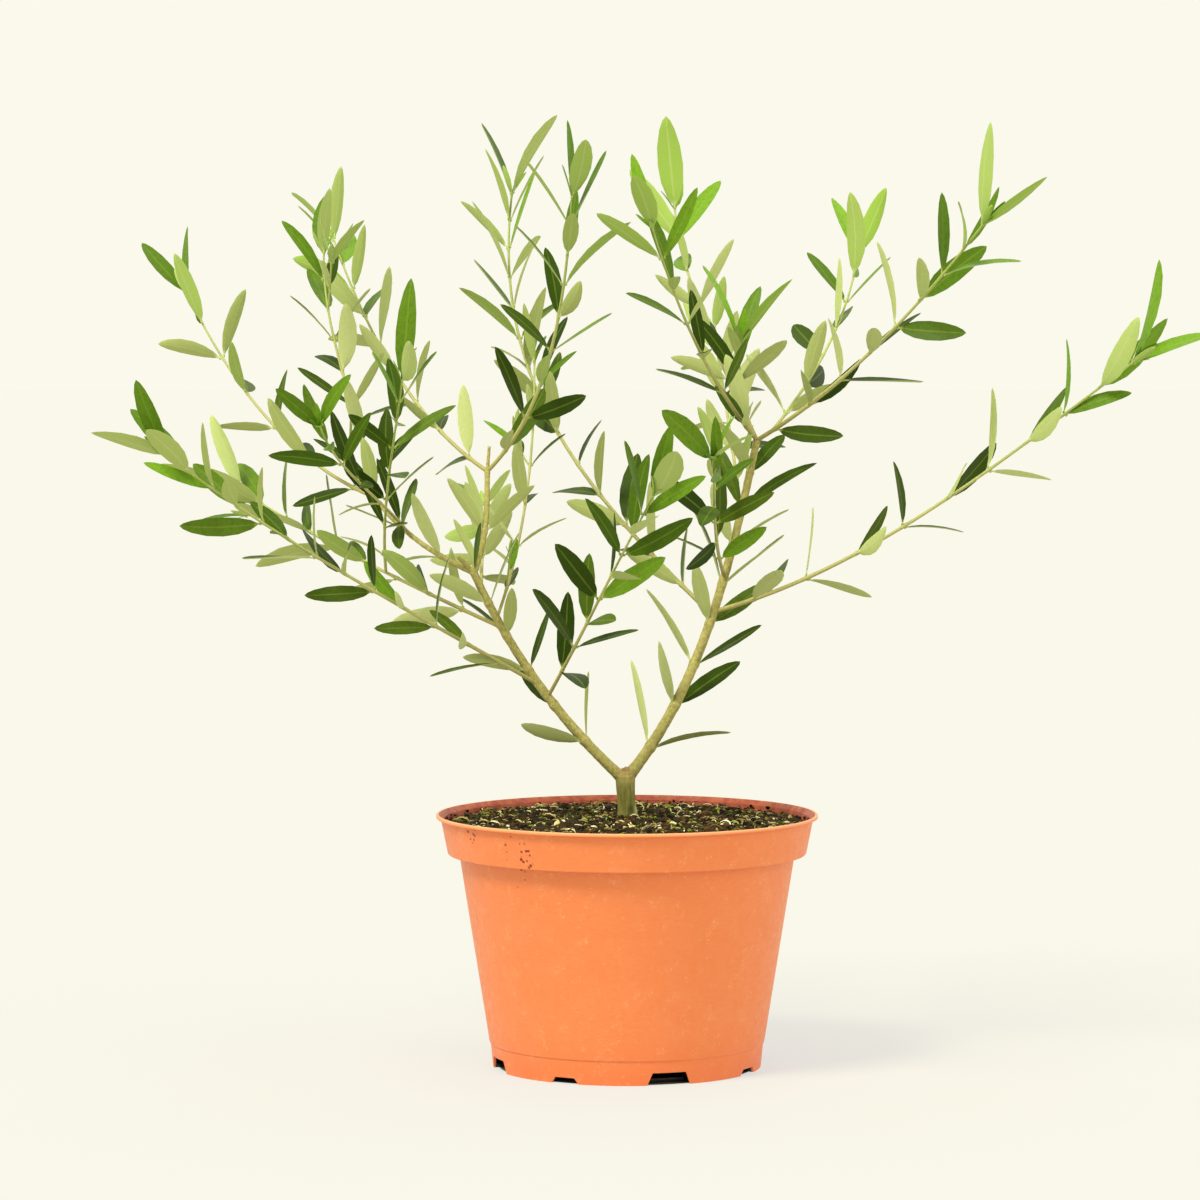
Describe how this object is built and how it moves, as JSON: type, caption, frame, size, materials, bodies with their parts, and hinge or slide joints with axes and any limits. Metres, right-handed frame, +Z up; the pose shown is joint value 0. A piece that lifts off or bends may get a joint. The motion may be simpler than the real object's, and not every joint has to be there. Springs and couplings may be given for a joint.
{
  "type": "potted olive tree",
  "caption": "Young olive tree with two spreading boughs and open leafy shoots, growing in a round tapered plastic nursery pot that stands on its flat underside.",
  "frame": {"origin": "centre of the pot's flat underside, on the ground", "axes": "+Z up, +X to the right and +Y to the back, seen from the front; the two boughs spread to -X and +X"},
  "size_m": [0.5663, 0.3975, 0.5031],
  "materials": {
    "pot": "smooth, lightly scuffed moulded plastic",
    "soil": "loose damp potting mix",
    "bark": "fine young bark",
    "foliage": "leathery leaves, pale underneath"
  },
  "bodies": {
    "root": {"bough_left": "bark", "bough_left_upper": "bark", "bough_right": "bark", "foliage_far_right": "foliage", "foliage_left_back": "foliage", "foliage_left_front": "foliage", "foliage_left_inner": "foliage", "foliage_left_low": "foliage", "foliage_left_lowest": "foliage", "foliage_left_outer": "foliage", "foliage_middle_back": "foliage", "foliage_middle_front": "foliage", "foliage_middle_low": "foliage", "foliage_middle_slender": "foliage", "foliage_middle_tall": "foliage", "foliage_right_back": "foliage", "foliage_right_front": "foliage", "foliage_right_inner": "foliage", "foliage_right_low": "foliage", "foliage_right_outer": "foliage", "limb_left": "bark", "pot": "pot", "soil": "soil", "trunk": "bark"}
  },
  "joints": []
}
